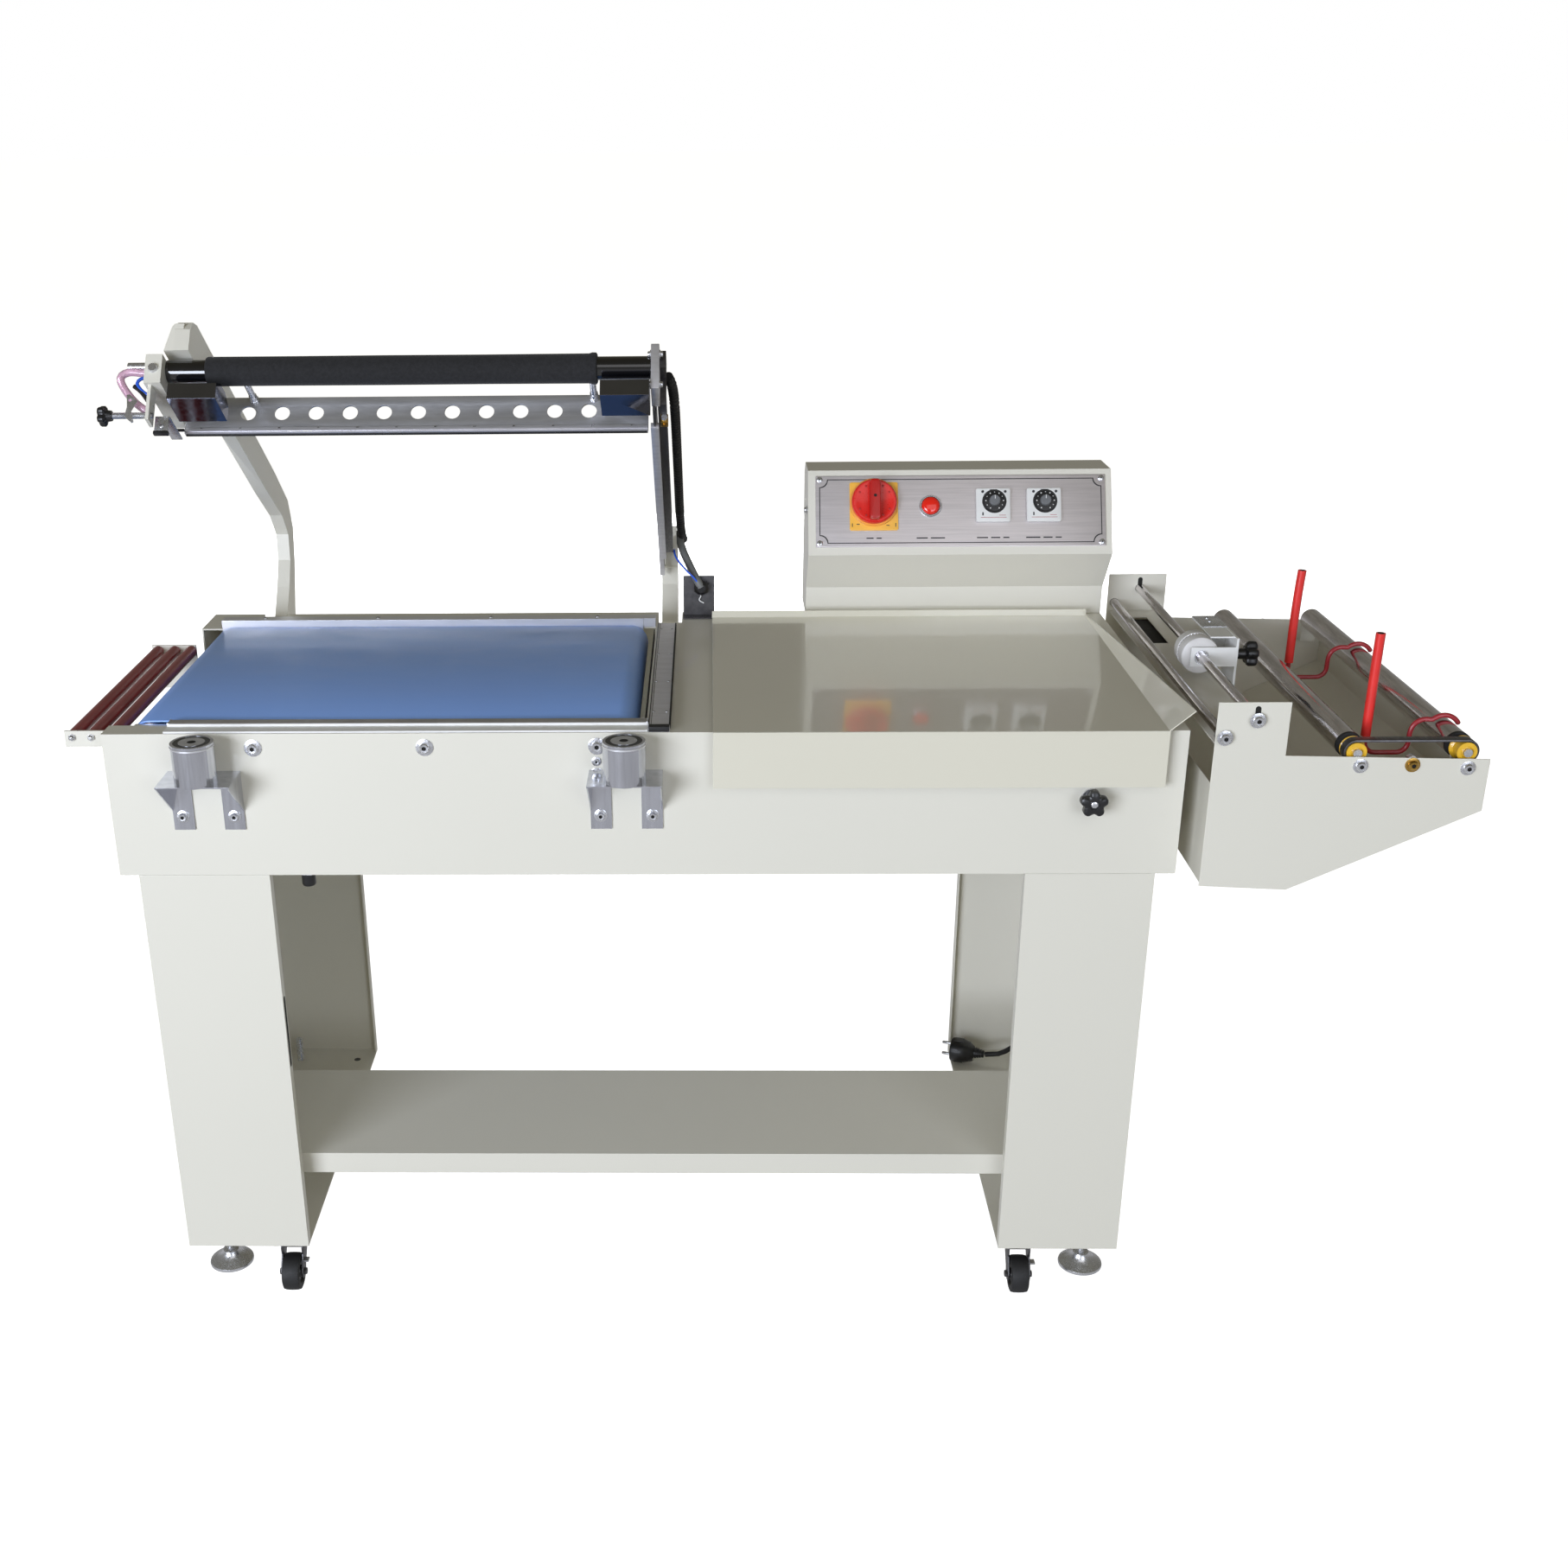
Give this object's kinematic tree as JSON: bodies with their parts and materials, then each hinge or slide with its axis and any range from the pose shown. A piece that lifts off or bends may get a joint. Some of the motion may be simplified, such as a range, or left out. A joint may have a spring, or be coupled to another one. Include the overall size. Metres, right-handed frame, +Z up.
{
  "type": "l-bar film sealer",
  "caption": "Wheeled stand with belt conveyor, raised hinged sealing head, packing table, tilted control console and film cradle for wrapping cartons.",
  "frame": {"origin": "centre of the footprint box on the floor, under the middle of the machine's overall box", "axes": "+Z up, +X along the machine towards the film cradle, -Y towards the operator at the front"},
  "size_m": [1.665, 0.7018, 1.2331],
  "materials": {
    "cream_paint": "satin cream powder coat",
    "polished_steel": "polished bright steel",
    "brushed_steel": "brushed stainless steel",
    "blue_belt": "blue coated conveyor belt",
    "dark_red_sleeve": "dark red plastic sleeve",
    "bright_red_plastic": "bright red plastic coating",
    "black_plastic": "black moulded plastic",
    "black_foam": "black foam grip on a tube",
    "white_plastic": "white plastic",
    "black_rubber": "black rubber tyre",
    "cord_sheath": "black flexible cord sheath"
  },
  "bodies": {
    "machine_frame": {"cabinet": "cream_paint", "leg_left": "cream_paint", "leg_right": "cream_paint", "shelf": "cream_paint", "conveyor_bed": "brushed_steel", "conveyor_belt": "blue_belt", "front_seal_pad": "white_plastic", "side_seal_pad": "brushed_steel", "magnet_left": "polished_steel", "magnet_right": "polished_steel", "control_box": "cream_paint", "control_panel": "brushed_steel", "tray_front": "cream_paint", "tray_rear": "cream_paint", "tray_floor": "cream_paint", "guide_rod": "polished_steel", "punch_rod": "polished_steel", "gland_bracket": "brushed_steel", "mains_cord": "cord_sheath", "mains_cord_tail": "cord_sheath", "mains_cord_coil": "cord_sheath", "mains_plug": "black_plastic"},
    "sealing_head": {"arm_left": "cream_paint", "arm_right": "cream_paint", "pivot_shaft": "polished_steel", "seal_beam_front": "brushed_steel", "seal_beam_side": "brushed_steel", "handle": "black_foam", "armature_left": "polished_steel", "armature_right": "polished_steel"},
    "tension_knob": {"tension_knob": "black_plastic"},
    "main_switch": {"main_switch": "bright_red_plastic"},
    "seal_time_dial": {"seal_time_dial": "black_plastic"},
    "conveyor_time_dial": {"conveyor_time_dial": "black_plastic"},
    "drive_roller": {"drive_roller": "polished_steel"},
    "idler_roller": {"idler_roller": "polished_steel"},
    "discharge_roller_1": {"discharge_roller_1": "dark_red_sleeve"},
    "discharge_roller_2": {"discharge_roller_2": "dark_red_sleeve"},
    "discharge_roller_3": {"discharge_roller_3": "dark_red_sleeve"},
    "packing_table": {"packing_table": "cream_paint"},
    "table_knob": {"table_knob": "black_plastic"},
    "film_roller_inner": {"film_roller_inner": "polished_steel"},
    "film_roller_outer": {"film_roller_outer": "polished_steel"},
    "punch_carriage": {"punch_carriage": "white_plastic"},
    "punch_wheel": {"punch_wheel": "white_plastic"},
    "punch_knob": {"punch_knob": "black_plastic"},
    "film_stop_front": {"film_stop_front": "bright_red_plastic"},
    "film_stop_rear": {"film_stop_rear": "bright_red_plastic"},
    "caster_front_left_fork": {"caster_front_left_fork": "polished_steel"},
    "caster_front_left_wheel": {"caster_front_left_wheel": "black_rubber"},
    "foot_front_left": {"foot_front_left": "polished_steel"},
    "caster_front_right_fork": {"caster_front_right_fork": "polished_steel"},
    "caster_front_right_wheel": {"caster_front_right_wheel": "black_rubber"},
    "foot_front_right": {"foot_front_right": "polished_steel"},
    "caster_rear_left_fork": {"caster_rear_left_fork": "polished_steel"},
    "caster_rear_left_wheel": {"caster_rear_left_wheel": "black_rubber"},
    "foot_rear_left": {"foot_rear_left": "polished_steel"},
    "caster_rear_right_fork": {"caster_rear_right_fork": "polished_steel"},
    "caster_rear_right_wheel": {"caster_rear_right_wheel": "black_rubber"},
    "foot_rear_right": {"foot_rear_right": "polished_steel"}
  },
  "joints": [
    {"name": "head_hinge", "type": "hinge", "parent": "machine_frame", "child": "sealing_head", "pos_m": [-0.4185, 0.27376, 0.664], "axis": [1, 0, 0], "range_deg": [0, 38], "stiffness_Nm_per_rad": 24, "springref_deg": -85.94},
    {"name": "tension_knob_turn", "type": "hinge", "parent": "sealing_head", "child": "tension_knob", "pos_m": [-0.7735, -0.13637, 1.13553], "axis": [1, 0, 0], "range_deg": [-180, 180]},
    {"name": "main_switch_turn", "type": "hinge", "parent": "machine_frame", "child": "main_switch", "pos_m": [0.1675, 0.20843, 0.95293], "axis": [0, -0.8894, 0.4572], "range_deg": [-90, 0]},
    {"name": "seal_time_turn", "type": "hinge", "parent": "machine_frame", "child": "seal_time_dial", "pos_m": [0.3335, 0.20843, 0.95293], "axis": [0, -0.8894, 0.4572], "range_deg": [-140, 140]},
    {"name": "conveyor_time_turn", "type": "hinge", "parent": "machine_frame", "child": "conveyor_time_dial", "pos_m": [0.4035, 0.20843, 0.95293], "axis": [0, -0.8894, 0.4572], "range_deg": [-140, 140]},
    {"name": "drive_roller_spin", "type": "hinge", "parent": "machine_frame", "child": "drive_roller", "pos_m": [-0.1715, -0.04594, 0.7695], "axis": [0, 1, 0], "continuous": true},
    {"name": "idler_roller_spin", "type": "hinge", "parent": "machine_frame", "child": "idler_roller", "pos_m": [-0.732, -0.04594, 0.7695], "axis": [0, 1, 0], "continuous": true},
    {"name": "discharge_roller_1_spin", "type": "hinge", "parent": "machine_frame", "child": "discharge_roller_1", "pos_m": [-0.8235, -0.07894, 0.777], "axis": [0, 1, 0], "continuous": true},
    {"name": "discharge_roller_2_spin", "type": "hinge", "parent": "machine_frame", "child": "discharge_roller_2", "pos_m": [-0.8005, -0.07894, 0.777], "axis": [0, 1, 0], "continuous": true},
    {"name": "discharge_roller_3_spin", "type": "hinge", "parent": "machine_frame", "child": "discharge_roller_3", "pos_m": [-0.7775, -0.07894, 0.777], "axis": [0, 1, 0], "continuous": true},
    {"name": "packing_table_slide", "type": "slide", "parent": "machine_frame", "child": "packing_table", "axis": [0, 1, 0], "range_m": [-0.1, 0]},
    {"name": "table_knob_turn", "type": "hinge", "parent": "machine_frame", "child": "table_knob", "pos_m": [0.3875, -0.29144, 0.708], "axis": [0, 1, 0], "range_deg": [-180, 180]},
    {"name": "film_roller_outer_spin", "type": "hinge", "parent": "machine_frame", "child": "film_roller_outer", "pos_m": [0.8075, -0.01744, 0.7715], "axis": [0, 1, 0], "continuous": true},
    {"name": "film_roller_inner_spin", "type": "hinge", "parent": "machine_frame", "child": "film_roller_inner", "pos_m": [0.682, -0.01744, 0.7715], "axis": [0, 1, 0], "continuous": true},
    {"name": "punch_carriage_slide", "type": "slide", "parent": "machine_frame", "child": "punch_carriage", "axis": [0, 1, 0], "range_m": [-0.2, 0.22]},
    {"name": "punch_wheel_spin", "type": "hinge", "parent": "punch_carriage", "child": "punch_wheel", "pos_m": [0.5615, -0.04994, 0.8145], "axis": [0, 1, 0], "continuous": true},
    {"name": "punch_knob_turn", "type": "hinge", "parent": "punch_carriage", "child": "punch_knob", "pos_m": [0.6073, -0.04994, 0.811], "axis": [1, 0, 0], "range_deg": [-180, 180]},
    {"name": "film_stop_front_slide", "type": "slide", "parent": "machine_frame", "child": "film_stop_front", "axis": [0, 1, 0], "range_m": [-0.04, 0.12]},
    {"name": "film_stop_rear_slide", "type": "slide", "parent": "machine_frame", "child": "film_stop_rear", "axis": [0, 1, 0], "range_m": [-0.12, 0.17]},
    {"name": "caster_front_left_swivel", "type": "hinge", "parent": "machine_frame", "child": "caster_front_left_fork", "pos_m": [-0.6215, -0.25994, 0.065], "axis": [0, 0, 1], "continuous": true},
    {"name": "caster_front_left_roll", "type": "hinge", "parent": "caster_front_left_fork", "child": "caster_front_left_wheel", "pos_m": [-0.6215, -0.28194, 0.025], "axis": [1, 0, 0], "continuous": true},
    {"name": "caster_front_right_swivel", "type": "hinge", "parent": "machine_frame", "child": "caster_front_right_fork", "pos_m": [0.3475, -0.25994, 0.065], "axis": [0, 0, 1], "continuous": true},
    {"name": "caster_front_right_roll", "type": "hinge", "parent": "caster_front_right_fork", "child": "caster_front_right_wheel", "pos_m": [0.3475, -0.28194, 0.025], "axis": [1, 0, 0], "continuous": true},
    {"name": "caster_rear_left_swivel", "type": "hinge", "parent": "machine_frame", "child": "caster_rear_left_fork", "pos_m": [-0.6215, 0.20506, 0.065], "axis": [0, 0, 1], "continuous": true},
    {"name": "caster_rear_left_roll", "type": "hinge", "parent": "caster_rear_left_fork", "child": "caster_rear_left_wheel", "pos_m": [-0.6215, 0.18306, 0.025], "axis": [1, 0, 0], "continuous": true},
    {"name": "caster_rear_right_swivel", "type": "hinge", "parent": "machine_frame", "child": "caster_rear_right_fork", "pos_m": [0.3475, 0.20506, 0.065], "axis": [0, 0, 1], "continuous": true},
    {"name": "caster_rear_right_roll", "type": "hinge", "parent": "caster_rear_right_fork", "child": "caster_rear_right_wheel", "pos_m": [0.3475, 0.18306, 0.025], "axis": [1, 0, 0], "continuous": true},
    {"name": "foot_front_left_screw", "type": "slide", "parent": "machine_frame", "child": "foot_front_left", "axis": [0, 0, 1], "range_m": [-0.021, 0]},
    {"name": "foot_front_right_screw", "type": "slide", "parent": "machine_frame", "child": "foot_front_right", "axis": [0, 0, 1], "range_m": [-0.021, 0]},
    {"name": "foot_rear_left_screw", "type": "slide", "parent": "machine_frame", "child": "foot_rear_left", "axis": [0, 0, 1], "range_m": [-0.021, 0]},
    {"name": "foot_rear_right_screw", "type": "slide", "parent": "machine_frame", "child": "foot_rear_right", "axis": [0, 0, 1], "range_m": [-0.021, 0]}
  ],
  "couplings": [
    {"joint": "idler_roller_spin", "follows": "drive_roller_spin", "ratio": 1},
    {"joint": "film_roller_inner_spin", "follows": "film_roller_outer_spin", "ratio": 1}
  ]
}
